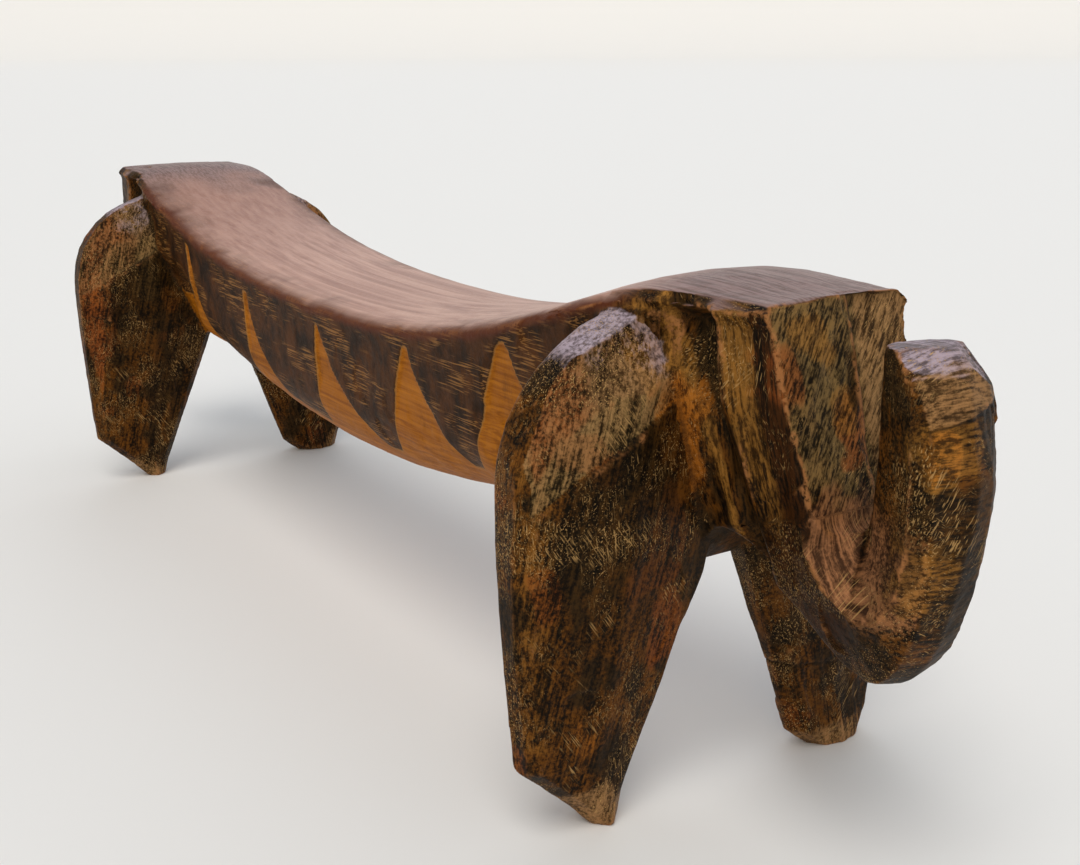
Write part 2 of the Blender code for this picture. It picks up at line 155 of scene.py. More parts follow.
# Unevenness: height and cell in mm, and seed
SWELLS = ((0.20, 16, 11), (0.09, 5, 12), (0.05, 2, 13))
FIBRE_CELL, FIBRE_SEED = (1.2, 3.0, 16.0), 41
FIBRE_HEIGHT, NECK_FIBRE_HEIGHT = 0.10, 0.16
TOP_DEPTH, TOP_ROUGHNESS = 6 * MM, 0.35  # the worn top is smoother than the rest, to this depth

# Fibres: how far they lean on each member, and where the neck's start past the legs' middle
LEG_LEAN, FACE_LEAN, HOOK_LEAN = 0.25, 0.6, 0.3
NECK_GRAIN = -4 * MM

# Masks: noise that frays their borders, as cell and seed
PATCHY = 11 * MM, 21
RAGGED = 4 * MM, 22

# Edge masks, by bend in point spacings: worn rims that also get a painted highlight, and creases that get
# painted shade
BEND_ROUNDS = 5
RIM_BEND, RIM_FRAY, CREASE_BEND = (0.014, 0.040), 0.006, (0.02, 0.06)

# Beam masks, below the top or past the legs' middle; a fray is a border's swing in mm
BAND_FRAY = (0.8, 0.5)
TOP_FLAT, SADDLE_END, WORN_SPAN = (9, 6), (4, -8), (4.6, 1.0)
TOPS_SPAN, TOPS_FRAY = (-26, 14), 9.0
REAR_TOP_SPAN = (-30, -150)  # along X, towards the rear
LIP_HALF = 2.8 * MM
FLUTE_RANGE = 4 * MM  # the flute mask runs from 0 to 1 within this distance of the outline
BURNT_SPAN, BURNT_FRAY = (-14, 0), 4.0

# Neck masks, past the legs' middle, past the crest, below the top or by height
NECK_OUT, FLANK_END, LOW_SPAN = 3 * MM, (242, 234), (66, 76)
RIBBON_FRAY = 0.6
STRIP_DROP, STRIP_HALF, STRIP_FROM, STRIP_TO = 6.5 * MM, 3.0 * MM, (-20, -8), (10, 4)
COLUMN_BACK = 2 * MM  # the light column starts this far before the crest
COLUMN_FROM, COLUMN_TO, COLUMN_LOW = (0.0, 2.5), (13, 8), (72, 100)
GROOVE_FROM, GROOVE_TO = (-0.5, 1.0), (0.5, -1.0)
DUSK_FROM, DUSK_LOW, DUSK_EDGE = (7, 11), (96, 80), (0, 4)
FACE_LOW, FACE_FRAY = (84, 100), 4.0
PANEL_LEFT, PANEL_EDGE = (4, 7), (13, 18)

# Leg masks, across the stool, by height or past the slanting cut
BEVEL_SHOWS = 0.7 * MM
OUTER_SPAN, OUTER_FRAY = (40, 48), 2.0
SHOULDER_HIGH, FACET_EDGE = (96, 108), (0.0, 0.6)
SHADE_FALL, SHADE_IN = (-78, -6), (56, 46)
SHARP_EDGE = (0.3, -0.3)
FOOT_SPAN, FOOT_FRAY = (12, 2), 6.0
DOME_IN, DOME_HIGH = (52, 42), (108, 120)

# Hook masks, across the stool, by height or along it
ARM_NEAR, CAP_HIGH = (-13.5, -11.5), (122, 125)
# painted shadow: the dark line under the ledge across the hooks' arms
LEDGE_LINE, LEDGE_LINE_HALF = 0.3 * MM, 0.8 * MM
INNER_FROM, INNER_HIGH = (234, 240), (102, 86)

# Patches of colour: mask, strength, middle and half size in mm
# Char patches paint charred wood, and some of them painted shade, such as the shadow along the end face's
# step
PATCHES = (
    ("red", 0.65, (219, -16.5, 121), (8, 3.5, 7)),
    ("red", 0.7, (224, -0.5, 108), (9, 5, 8)),
    ("char_and_shade", 0.9, (222, 2.0, 118), (9, 2.2, 6)),
    ("pale", 0.7, (188, -32, 117), (9, 8, 5)),
    ("gold", 0.6, (216, -10, 127), (6, 7, 6)),
    ("gold", 0.5, (221, -3, 112), (6, 4, 6)),
    ("amber", 0.65, (190, -21, 103), (7, 5.5, 11)),
    ("gold", 0.3, (183, -57, 62), (9, 5, 40)),
    ("red", 0.5, (188, -41, 95), (9, 5, 6)),
    ("red", 0.55, (185, -55, 66), (9, 4, 9)),
    ("red", 0.55, (185, -21, 52), (9, 5, 10)),
    ("amber", 0.6, (187, -16, 92), (4, 4, 9)),
    ("amber", 0.3, (186, -44, 27), (9, 3.5, 7)),
    ("pale", 0.7, (183, -42, 6), (12, 9, 7)),
    ("gold", 0.9, (257, -9.0, 110), (7, 4.5, 7)),
    ("amber", 0.4, (257, -9.0, 110), (7, 4.0, 6)),
    ("gold", 0.5, (258, -2.6, 111.5), (7, 3.6, 6)),
    ("char_and_shade", 0.7, (258, -2, 97), (7, 7.5, 8)),
    ("gold", 0.6, (256, -9, 84), (8, 6, 8)),
    ("char_and_shade", 0.5, (252, -14, 100), (9, 2.5, 24)),
    ("char_and_shade", 0.9, (-163, -37, 118), (8, 5, 9)),
    ("olive", 0.5, (-163, -35, 94), (8, 7, 14)),
    ("red", 0.45, (-167, -55, 82), (9, 7, 22)),
    ("amber", 0.5, (-164, -25, 81), (8, 4.5, 7)),
    ("char_and_shade", 0.8, (-167, -25, 45), (9, 5, 26)),
)

SEED = 7
HASH_FACTORS = (73856093, 19349663, 83492791)
HASH_SEED, HASH_MIX = 2654435761, 1274126177


# Helpers on arrays of points

def smooth_step(low, high, value):
    share = np.clip((value - low) / (high - low), 0.0, 1.0)
    return share * share * (3.0 - 2.0 * share)


def fade(span, value):
    """0 before a span's first place and 1 past its second; the span in mm, the value in metres."""
    return smooth_step(span[0] * MM, span[1] * MM, value)


def hill(distance, half):
    """1 where distance is 0, easing to 0 at half."""
    return np.clip(1.0 - (distance / half) ** 2, 0.0, 1.0) ** 2


def lattice_values(grid, seed):
    """Seeded value between -1 and 1 for each whole-number corner."""
    x, y, z = (grid * HASH_FACTORS).T
    mixed = x ^ y ^ z ^ seed * HASH_SEED
    mixed = (mixed ^ (mixed >> 13)) * HASH_MIX
    mixed = mixed ^ (mixed >> 16)
    return (mixed & 0xFFFF) / 32767.5 - 1.0


def noise(points, cell, seed):
    """Smooth noise between -1 and 1; cell is one length, or one for each axis."""
    scaled = points / cell
    grid = np.floor(scaled).astype(np.int64)
    part = scaled - grid
    ease = part * part * (3.0 - 2.0 * part)
    total = np.zeros(len(points))
    for corner in range(8):
        offset = np.array([corner & 1, corner >> 1 & 1, corner >> 2 & 1])
        share = np.prod(np.where(offset == 1, ease, 1.0 - ease), axis=1)
        total += share * lattice_values(grid + offset, seed)
    return total


def wobble(points, cell, swing, seed):
    """Noise that lets a straight line waver; cell and swing in mm."""
    return noise(points, np.array(cell) * MM, seed) * swing * MM


def unit(vector):
    vector = np.asarray(vector, float)
    return vector / np.linalg.norm(vector)


def read(items, key, width, kind):
    """One row of values for each of a mesh's items."""
    values = np.empty(len(items) * width, kind)
    items.foreach_get(key, values)
    return values.reshape(-1, width)


class Skin:
    """Points, edges and triangles of the carved surface."""

    def __init__(self, mesh):
        self.mesh = mesh
        mesh.calc_loop_triangles()
        self.points = read(mesh.vertices, "co", 3, float)
        self.edges = read(mesh.edges, "vertices", 2, np.int32)
        self.triangles = read(mesh.loop_triangles, "vertices", 3, np.int32)
        self.degree = np.bincount(self.edges.ravel(), minlength=len(self.points))

    def around(self, values):
        """Mean of each point's neighbours."""
        first, second = self.edges.T
        columns = []
        for column in values.reshape(len(values), -1).T:
            total = np.bincount(first, column[second], len(values))
            total += np.bincount(second, column[first], len(values))
            columns.append(total / self.degree)
        return np.stack(columns, axis=1).reshape(values.shape)

    def spread(self, where, rounds):
        """A mask blurred over the skin."""
        share = where.astype(float)
        for _ in range(rounds):
            share = 0.5 * share + 0.5 * self.around(share)
        return share

    def smooth(self, weight, rounds):
        for _ in range(rounds):
            self.points += 0.5 * weight[:, None] * (self.around(self.points) - self.points)

    def normals(self):
        a, b, c = (self.points[self.triangles[:, i]] for i in range(3))
        across = np.cross(b - a, c - a)
        total = np.zeros_like(self.points)
        for corner in self.triangles.T:
            for axis in range(3):
                total[:, axis] += np.bincount(corner, across[:, axis], len(total))
        return total / np.maximum(np.linalg.norm(total, axis=1), 1e-20)[:, None]


# The skin before carving

def add_object(name, data):
    item = bpy.data.objects.new(name, data)
    bpy.context.scene.collection.objects.link(item)
    return item


def solids_tree(nodes):
    """Nearest-point tree over all solids, with the node that owns each face."""
    places, faces, owner = [], [], []
    for index, name in enumerate(nodes):
        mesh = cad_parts[name].data
        start = len(places)
        places += [v.co.copy() for v in mesh.vertices]
        faces += [[start + i for i in p.vertices] for p in mesh.polygons]
        owner += [index] * len(mesh.polygons)
    return BVHTree.FromPolygons(places, faces), np.array(owner)


def remeshed_union(nodes):
    """One closed mesh round all solids, finer towards the two ends."""
    shape = bmesh.new()
    for name in nodes:
        shape.from_mesh(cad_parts[name].data)
    bmesh.ops.remove_doubles(shape, verts=shape.verts, dist=WELD)
    bmesh.ops.recalc_face_normals(shape, faces=shape.faces)
    shape.normal_update()
    for vertex in shape.verts:
        vertex.co += vertex.normal * GROW
    mesh = bpy.data.meshes.new("swollen")
    shape.to_mesh(mesh)
    shape.free()
    holder = add_object("swollen", mesh)
    remesh = holder.modifiers.new("remesh", "REMESH")
    remesh.mode = "VOXEL"
    remesh.voxel_size = VOXEL
    depsgraph = bpy.context.evaluated_depsgraph_get()
    even = bpy.data.meshes.new_from_object(holder.evaluated_get(depsgraph))
    bpy.data.objects.remove(holder)
    shape = bmesh.new()
    shape.from_mesh(even)
    fine = {e for f in shape.faces if abs(f.calc_center_median().x) > DETAIL_X for e in f.edges}
    bmesh.ops.subdivide_edges(shape, edges=sorted(fine, key=lambda e: e.index), cuts=1, use_grid_fill=True)
    shape.to_mesh(even)
    shape.free()
    return even


def settle(skin, tree, owner):
    """Draw the skin onto the solids, take out the grid's steps, and say which node each point is on."""
    places = [tree.find_nearest(Vector(p)) for p in skin.points]
    skin.points = np.array([place[0] for place in places])
    skin.smooth(np.ones(len(skin.points)), EVEN_ROUNDS)
    return owner[np.array([place[2] for place in places])]


# Carving

def scoop(skin, normals, centre, normal, along, length, width, depth):
    """Shallow gouge cut: a dished ellipse that takes away what stands above it."""
    normal = unit(normal)
    along = unit(along - normal * np.dot(along, normal))
    across = np.cross(normal, along)
    away = skin.points - centre
    near = np.flatnonzero(np.einsum("ij,ij->i", away, away) < max(length, width) ** 2)
    near = near[normals[near] @ normal > SCOOP_FACING]
    away = away[near]
    inside = (away @ along / length) ** 2 + (away @ across / width) ** 2
    floor = depth * (inside - 1.0)
    over = np.where(inside < 1.0, away @ normal - floor, 0.0)
    skin.points[near] -= np.clip(over, 0.0, SCOOP_MOST * depth)[:, None] * normal


def gouge_marks(skin, where, marks, random):
    """Scatter gouge cuts over the points in where."""
    count, along, lengths, depths = marks
    normals = skin.normals()
    chosen = random.choice(np.flatnonzero(where), count)
    for index in chosen:
        length = random.uniform(lengths[0] * MM, lengths[1] * MM)
        width = length * random.uniform(*GOUGE_WIDTHS)
        tilt = random.normal(0.0, GOUGE_TILT, 3)
        way = np.array(along) + random.normal(0.0, GOUGE_SWAY, 3)
        depth = random.uniform(depths[0] * MM, depths[1] * MM)
        centre = skin.points[index]
        scoop(skin, normals, centre, normals[index] + tilt, way, length, width, depth)


def cut_plane(skin, weight, point, normal):
    """Shave off what stands above a plane; gives the depth taken at each point."""
    over = weight * np.maximum((skin.points - point) @ normal, 0.0)
    skin.points -= over[:, None] * normal
    return over


def bevel_shoulder(skin, weight, centre_x, side, face, random):
    """Knife bevels round a shoulder's outline, on the broad face that looks along face."""
    width = BEVEL_IN if face > 0.0 else BEVEL_IN * BEVEL_BACK
    middle = np.array([centre_x, side * SHOULDER_MIDDLE[0], SHOULDER_MIDDLE[1]])
    ahead = np.array([face, 0.0, 0.0])
    taken = np.zeros(len(skin.points))
    half = weight * ((skin.points[:, 0] - centre_x) * face > 0.0)
    for degrees in BEVEL_ANGLES:
        angle = math.radians(degrees + random.uniform(-BEVEL_SWAY, BEVEL_SWAY))
        out = np.array([0.0, side * math.cos(angle), math.sin(angle)])
        reach = ((skin.points[half > 0.5] - middle) @ out).max()
        start = reach - width * random.uniform(*BEVEL_WIDTHS)
        point = middle + out * start + ahead * BEVEL_HALF_DEPTH
        normal = unit(ahead * math.cos(BEVEL_TILT) + out * math.sin(BEVEL_TILT))
        taken = np.maximum(taken, cut_plane(skin, half, point, normal))
        if face > 0.0 and centre_x > 0.0 and degrees < ROUND_LAST:
            point = middle + out * reach - ahead * ROUND_BACK
            normal = unit(ahead * math.cos(ROUND_TILT) + out * math.sin(ROUND_TILT))
            cut_plane(skin, weight, point, normal)
    return taken


class Places:
    """Where each point lies, in terms of the stool's own lines."""

    def __init__(self, skin, nodes, node_of):
        x, y, z = skin.points.T
        self.x, self.y, self.z = x.copy(), y.copy(), z.copy()
        self.side = np.where(y < 0, -1, 1)
        self.end = np.where(x < 0, -1, 1)
        self.on = {name: node_of == index for index, name in enumerate(nodes)}
        self.beam = self.on["saddle_beam"]
        legs = [name for name in nodes if "leg" in name or "foot" in name]
        self.leg = np.any([self.on[name] for name in legs], axis=0)
        self.hook = self.on["front_hook"] | self.on["rear_hook"]
        front, rear = (middle_of(name)[0] for name in ("front_right_leg", "rear_right_leg"))
        self.out = np.abs(x) - np.abs(np.where(x > 0, front, rear))
        self.below = self.top_line() - z

    def top_line(self):
        """Height of the beam's top over each point, from the highest points along the beam."""
        low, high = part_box("saddle_beam")
        bins = np.linspace(low.x, high.x, TOP_SLICES)
        slot = np.clip(np.digitize(self.x, bins), 0, len(bins) - 1)
        highest = np.zeros(len(bins))
        np.maximum.at(highest, slot[self.beam], self.z[self.beam])
        known = np.flatnonzero(highest > 0.0)
        return np.interp(self.x, bins[known], highest[known])

    def lean(self, start, lean):
        """Distance past a line on the neck that leans outwards on its way down."""
        return self.out - start - (NECK_TOP - self.z) * lean


def middle_of(name):
    low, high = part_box(name)
    return (low + high) / 2


def flute_field(places):
    """How far each point of the beam's side is inside a golden flute; below 0 is on a tongue."""
    field = np.full(len(places.x), -1.0)
    for apex, drop, left, right in FLUTES:
        for side in (-1, 1):
            shift = 0.0 if side < 0 else FLUTE_SHIFT
            fall = places.below - EDGE_DROP - drop * MM
            share = np.maximum(fall, 0.0) / FLUTE_FALL
            away = places.x - (apex + shift) * MM
            past_left = away + left * MM * share ** FLUTE_BENDS[0] + FLUTE_TIPS[0]
            past_right = right * MM * share ** FLUTE_BENDS[1] + FLUTE_TIPS[1] - away
            inside = np.minimum(np.minimum(past_right, past_left), fall * FLUTE_POINT)
            field = np.where(places.side == side, np.maximum(field, inside), field)
    belly = (places.below - EDGE_DROP - TONGUE_LENGTH) * TONGUE_SLOPE
    return np.maximum(field, belly)


def carve_flutes(skin, places, between):
    """Golden flutes cut into both sides of the beam; gives the distance inside them."""
    flute = flute_field(places) + wobble(skin.points, *FLUTE_WOBBLE)
    flute = np.where(places.beam, flute, -1.0)
    dip = FLUTE_DEPTH * fade(FLUTE_EDGE, flute) * between
    dip *= 1.0 - fade(FLUTE_END, places.below)
    skin.points -= skin.normals() * dip[:, None]
    return flute


def carve_neck(skin, places, weight):
    """Leaning hollow and crest on the neck's flanks, and the step in the end face."""
    normals = skin.normals()
    height = fade(NECK_RISE, places.z) * fade(NECK_UNDER_TOP, places.below)
    facing = np.clip(np.abs(normals[:, 1]) * 2.0 - 0.6, 0.0, 1.0) * weight * height
    facing *= fade(NECK_END, np.abs(places.x))
    hollow = hill(places.lean(HOLLOW_OUT, HOLLOW_LEAN), HOLLOW_HALF)
    past = places.lean(CREST_OUT, CREST_LEAN)
    crest = np.where(past < 0.0, hill(past, CREST_HALF), np.exp(-np.maximum(past, 0.0) / CREST_RUN))
    skin.points[:, 1] -= places.side * facing * (HOLLOW_DEPTH * hollow - CREST_RISE * crest)

    panel = end_face(places, normals) * fade(STEP_RISE, places.z)
    past = places.y * places.end - STEP_Y + wobble(skin.points, *STEP_WOBBLE)
    step = fade(STEP_EDGE, past) * (1.0 - STEP_RETURN * fade(STEP_RAMP, past))
    skin.points[:, 0] -= places.end * panel * step * STEP_DEPTH


def end_face(places, normals):
    """1 on the two faces behind the hooks."""
    face = smooth_step(0.55, 0.85, places.end * normals[:, 0]) * ~places.leg
    return face * (places.out > FACE_OUT) * (np.abs(places.x) < TROUGH_X - FACE_CLEAR)


def trough_floor(places, normals):
    """How squarely each point looks up and out, as the floor of a trough does."""
    return 0.8 * normals[:, 2] + 0.6 * places.end * normals[:, 0]


def below_ledge(places):
    """Distance under the ledge across the hooks' arms."""
    return ARM_LEDGE + places.y * ARM_LEDGE_RISE - places.z


def carve_legs(skin, places, nodes, weight, random):
    """Shoulder bevels, the slanting cut across the broad faces, the tool mark and the crack."""
    bevel = np.zeros(len(skin.points))
    for name in nodes:
        if "leg" not in name:
            continue
        middle = middle_of(name)
        side = math.copysign(1.0, middle.y)
        own = weight * places.on[name]
        for face in (-1.0, 1.0):
            bevel += bevel_shoulder(skin, own, middle.x, side, face, random)
    normals = skin.normals()
    broad = weight * smooth_step(0.6, 0.9, np.abs(normals[:, 0]))
    above = places.z - (CUT_AT[1] - (np.abs(places.y) - CUT_AT[0]) * CUT_SLOPE)
    above += wobble(skin.points, *CUT_WOBBLE)
    cut = fade(CUT_EDGE, above) * np.exp(-np.maximum(above, 0.0) / CUT_FADE)
    skin.points[:, 0] -= np.sign(normals[:, 0]) * broad * cut * CUT_DEPTH
    mark = hill(np.abs(places.y) - TOOL_MARK[0], TOOL_MARK_HALF[0])
    mark *= hill(places.z - TOOL_MARK[1], TOOL_MARK_HALF[1])
    mark = smooth_step(0.05, 0.2, mark) * places.on["front_right_leg"] * (normals[:, 0] > 0.6)
    skin.points[:, 0] -= mark * TOOL_MARK_DEPTH
    foot = skin.spread(places.on["front_left_foot"], CRACK_BLUR)
    crack = 1.0 - np.abs(2.0 * foot - 1.0)
    skin.points -= normals * (crack ** 2 * CRACK_DEPTH)[:, None]
    return {"bevel": bevel, "facet": np.where(broad > 0.3, above, -1.0), "crack": crack}


def carve_hooks(skin, places, weight):
    """Knife planes on the arms and a ledge across their fronts, the same at both ends."""
    for point, normal in ARM_PLANES:
        for end in (-1, 1):
            flip = np.array([end, 1.0, 1.0])
            own = weight * (places.end == end)
            cut_plane(skin, own, np.array(point) * MM * flip, unit(np.array(normal) * flip))
    normals = skin.normals()
    below = below_ledge(places)
    ledge = fade(LEDGE_EDGE, below) * (1.0 - fade(LEDGE_RUN, below))
    ledge *= weight * smooth_step(0.6, 0.9, places.end * normals[:, 0])
    skin.points[:, 0] -= places.end * ledge * ARM_LEDGE_DEPTH


def calm_seams(skin, places):
    """Smooth the beam between the legs, the seams at the hooks, and the hooks' inner sides."""
    calm = fade(CALM_SPAN, places.out) * places.beam
    edge = hill(places.below - CALM_EDGE, CALM_EDGE_HALF)
    skin.smooth(calm * (1.0 - 0.75 * edge), BEAM_ROUNDS)
    share = skin.spread(places.hook, SEAM_BLUR)
    skin.smooth(4.0 * share * (1.0 - share), SEAM_ROUNDS)
    inner = smooth_step(0.0, 0.5, -places.end * skin.normals()[:, 0]) * places.hook
    inner *= smooth_step(*MEMBER_CORE, share)
    tip = 0.5 * places.hook * fade(HOOK_TIP, places.z)
    skin.smooth(np.maximum(inner, tip), INNER_ROUNDS)


def knock_chips(skin):
    """Chips, each at the point of the skin that is nearest to its middle."""
    normals = skin.normals()
    for centre, out, along, sizes in CHIPS:
        near = np.argmin(((skin.points - np.array(centre) * MM) ** 2).sum(axis=1))
        sizes = [size * MM for size in sizes]
        scoop(skin, normals, skin.points[near], np.array(out), np.array(along), *sizes)


def roughen(skin, places, on_neck):
    """Low swells and raised fibres; the worn top stays smoother."""
    normals = skin.normals()
    rough = np.where(places.beam & (places.below < TOP_DEPTH), TOP_ROUGHNESS, 1.0)
    swell = np.zeros(len(skin.points))
    for height, cell, seed in SWELLS:
        swell += height * noise(skin.points, cell * MM, seed)
    fibres = noise(grain_flow(skin, places), np.array(FIBRE_CELL), FIBRE_SEED)
    swell += fibres * np.where(places.beam, NECK_FIBRE_HEIGHT * on_neck, FIBRE_HEIGHT)
    skin.points += normals * (swell * rough * MM)[:, None]


def stand_on_floor(skin):
    skin.points[:, 2] = np.maximum(skin.points[:, 2], 0.0)


def carve(skin, nodes, node_of):
    """All cuts, from the large ones to the small; gives the places and what was cut."""
    random = np.random.default_rng(SEED)
    calm_seams(skin, Places(skin, nodes, node_of))
    places = Places(skin, nodes, node_of)
    between = fade(BETWEEN_SPAN, places.out) * places.beam
    on_leg = smooth_step(*MEMBER_CORE, skin.spread(places.leg, MEMBER_BLUR))
    on_hook = smooth_step(*MEMBER_CORE, skin.spread(places.hook, MEMBER_BLUR))
    on_neck = smooth_step(*NECK_CORE, skin.spread(~places.leg, NECK_BLUR)) * (places.out > NECK_START)
    carved = {"flute": carve_flutes(skin, places, between)}
    carve_neck(skin, places, on_neck)
    carved.update(carve_legs(skin, places, nodes, on_leg, random))
    skin.smooth(0.6 * np.clip(carved["bevel"] / MM, 0.0, 1.0), BEVEL_ROUNDS)
    carve_hooks(skin, places, on_hook)
    knock_chips(skin)
    on_side = between * (places.below > TOP_DEPTH)
    gouged = (on_leg, LEG_GOUGES), (on_hook, HOOK_GOUGES), (on_neck, NECK_GOUGES), (on_side, SIDE_GOUGES)
    for where, marks in gouged:
        gouge_marks(skin, where > GOUGE_CORE, marks, random)
    roughen(skin, places, on_neck)
    stand_on_floor(skin)
    return places, carved


# Masks for the finish

class Finish(dict):
    """Point masks by name; a mask laid twice keeps the larger value."""

    def lay(self, name, values):
        self[name] = np.maximum(self.get(name, 0.0), values)


def patch(places, centre, half, ragged):
    """Block-shaped patch with a ragged edge; centre and half sizes in mm."""
    away = np.abs(np.stack([places.x, places.y, places.z], axis=1) / MM - centre) / half
    size = (away ** 4).sum(axis=1) ** 0.25
    return smooth_step(1.25, 0.75, size + 0.35 * ragged)


def lay_edges(finish, skin, normals, ragged):
    """Worn rims that also get a painted highlight, and painted shade in the creases, from how sharply the
    skin bends.
    """
    curve = np.einsum("ij,ij->i", skin.points - skin.around(skin.points), normals)
    spacing = np.where(np.abs(skin.points[:, 0]) > DETAIL_X, VOXEL / 2, VOXEL)
    bent = 0.5 * curve / spacing
    for _ in range(BEND_ROUNDS):
        bent = 0.5 * (bent + skin.around(bent))
    finish.lay("rim_wear_and_glint", smooth_step(*RIM_BEND, bent + RIM_FRAY * ragged))
    finish.lay("crease_shade", 0.75 * smooth_step(*CREASE_BEND, -bent))


def lay_beam(finish, places, normals, carved, patchy, ragged):
    """Worn top, dark lip below it, flutes, and the burnt ends."""
    band = places.below + (BAND_FRAY[0] * patchy + BAND_FRAY[1] * ragged) * MM
    up = smooth_step(0.25, 0.6, normals[:, 2]) * places.beam
    flat = fade(TOP_FLAT, places.below) * smooth_step(0.75, 0.9, normals[:, 2])
    saddle = fade(SADDLE_END, places.out)
    finish.lay("wear", up * (saddle * fade(WORN_SPAN, band) + (1.0 - saddle) * flat))
    finish.lay("tops", fade(TOPS_SPAN, places.out + TOPS_FRAY * patchy * MM))
    # the top is darker towards the rear
    finish.lay("toward_rear", fade(REAR_TOP_SPAN, places.x))
    finish.lay("lip", places.beam * hill(band - EDGE_DROP, LIP_HALF) * saddle)
    finish.lay("flute", np.clip(carved["flute"] / FLUTE_RANGE, -1.0, 1.0) * 0.5 + 0.5)
    ends = fade(BURNT_SPAN, places.out + BURNT_FRAY * patchy * MM)
    finish.lay("burnt", np.where(places.beam, ends, 1.0))


def lay_neck(finish, places, normals, ragged):
    """Flanks of neck and hook, end faces and the troughs below them."""
    sideways = np.abs(normals[:, 1])
    neck = (places.out > NECK_OUT) * ~places.leg
    flank = smooth_step(0.2, 0.6, sideways) * neck * fade(FLANK_END, np.abs(places.x))
    past = places.lean(CREST_OUT - COLUMN_BACK, CREST_LEAN)
    ribbon = hill(places.lean(RIBBON_OUT, RIBBON_LEAN) + RIBBON_FRAY * ragged * MM, RIBBON_HALF)
    finish.lay("gold", ribbon * fade(LOW_SPAN, places.z) * (places.out > NECK_OUT))
    strip = hill(places.below - STRIP_DROP, STRIP_HALF) * fade(STRIP_FROM, places.out)
    finish.lay("gold", 0.8 * strip * fade(STRIP_TO, places.out) * places.beam)
    column = fade(COLUMN_FROM, past) * fade(COLUMN_TO, past) * smooth_step(0.02, 0.25, sideways) * neck
    finish.lay("gold", 0.65 * column * fade(COLUMN_LOW, places.z))
    groove = fade(GROOVE_FROM, places.lean(RIBBON_OUT + RIBBON_HALF, RIBBON_LEAN))
    finish.lay("char_and_shade", 0.8 * groove * fade(GROOVE_TO, past) * flank)
    finish.lay("dusk", flank * fade(DUSK_FROM, past))
    finish.lay("dusk", flank * fade(DUSK_LOW, places.z) * fade(DUSK_EDGE, past))

    face = end_face(places, normals)
    high = fade(FACE_LOW, places.z + FACE_FRAY * ragged * MM)
    trough = smooth_step(0.1, 0.5, trough_floor(places, normals))
    trough *= places.hook * (np.abs(places.x) < TROUGH_X) * (places.z < TROUGH_TOP)
    left = places.y * places.end
    finish.lay("olive", 0.7 * face * high)
    finish.lay("rose", np.maximum(face, trough) * (1.0 - high))
    finish.lay("pale", 0.6 * face * high * fade(PANEL_LEFT, left))
    finish.lay("char_and_shade", 0.6 * face * high * fade(PANEL_EDGE, left))


def lay_legs(finish, places, normals, carved, patchy):
    """Bevels, the light facet above the slanting cut, painted shade below it and in the crack, painted
    sheen on the shoulders' tops, and the feet.
    """
    spread, facet = np.abs(places.y), carved["facet"]
    bevel = np.clip(carved["bevel"] / BEVEL_SHOWS, 0.0, 1.0) * places.leg
    outer = fade(OUTER_SPAN, spread + OUTER_FRAY * patchy * MM)
    finish.lay("red", 0.7 * bevel * outer)
    finish.lay("pale", 0.4 * bevel * outer * fade(SHOULDER_HIGH, places.z))
    finish.lay("olive", 0.85 * fade(FACET_EDGE, facet) * (1.0 - bevel))
    finish.lay("pale", 0.4 * fade(FACET_EDGE, facet))
    # painted shade: the broad face below the slanting cut is darkened, less near the leg's edges
    shade = fade(SHADE_FALL, facet) * fade(SHADE_IN, spread)
    finish.lay("char_and_shade", 0.85 * shade * fade(SHARP_EDGE, facet))
    finish.lay("red", 0.45 * places.leg * smooth_step(0.35, 0.6, patchy))
    finish.lay("pale", 0.7 * places.leg * fade(FOOT_SPAN, places.z + FOOT_FRAY * patchy * MM))
    # painted shade along the crack in the front left foot
    finish.lay("crease_shade", smooth_step(0.25, 0.7, carved["crack"]))
    # painted reflection: a lavender sheen of the overhead light on the shoulders' upward faces
    dome = smooth_step(0.20, 0.70, normals[:, 2] + 0.15 * patchy) * fade(DOME_IN, spread)
    finish.lay("painted_sheen", 0.85 * places.leg * dome * fade(DOME_HIGH, places.z))
    finish.lay("leg", places.leg.astype(float))


def lay_hooks(finish, places, normals):
    """Pale front above the ledge with a painted shadow line under it, painted sheen on the tip, and rose
    on the inner flanks.
    """
    front = smooth_step(0.5, 0.8, places.end * normals[:, 0]) * places.hook
    front *= np.abs(places.x) > TROUGH_X
    below = below_ledge(places)
    finish.lay("pale", 0.65 * front * fade(ARM_NEAR, places.y) * fade(SHARP_EDGE, below))
    # painted reflection: a lavender sheen of the overhead light on the tip's upward faces
    cap = smooth_step(0.45, 0.7, normals[:, 2]) * fade(CAP_HIGH, places.z)
    finish.lay("painted_sheen", 0.8 * places.hook * cap)
    # painted shadow: a dark line under the overhanging ledge
    finish.lay("char_and_shade", hill(below - LEDGE_LINE, LEDGE_LINE_HALF) * front)
    inner = smooth_step(0.3, 0.7, np.abs(normals[:, 1])) * places.hook
    inner *= fade(INNER_FROM, np.abs(places.x))
    inner *= fade(INNER_HIGH, places.z) * fade(LOW_SPAN, places.z)
    finish.lay("rose", 0.7 * inner)


def finish_masks(skin, places, carved):
    """Point values that the materials read, each from the stool's own lines."""
    normals = skin.normals()
    patchy = noise(skin.points, *PATCHY)
    ragged = noise(skin.points, *RAGGED)
    finish = Finish()
    lay_edges(finish, skin, normals, ragged)
    lay_beam(finish, places, normals, carved, patchy, ragged)
    lay_neck(finish, places, normals, ragged)
    lay_legs(finish, places, normals, carved, patchy)
    lay_hooks(finish, places, normals)
    for name, strength, centre, half in PATCHES:
        finish.lay(name, strength * patch(places, centre, half, ragged))
    finish["flow"] = grain_flow(skin, places)
    return finish


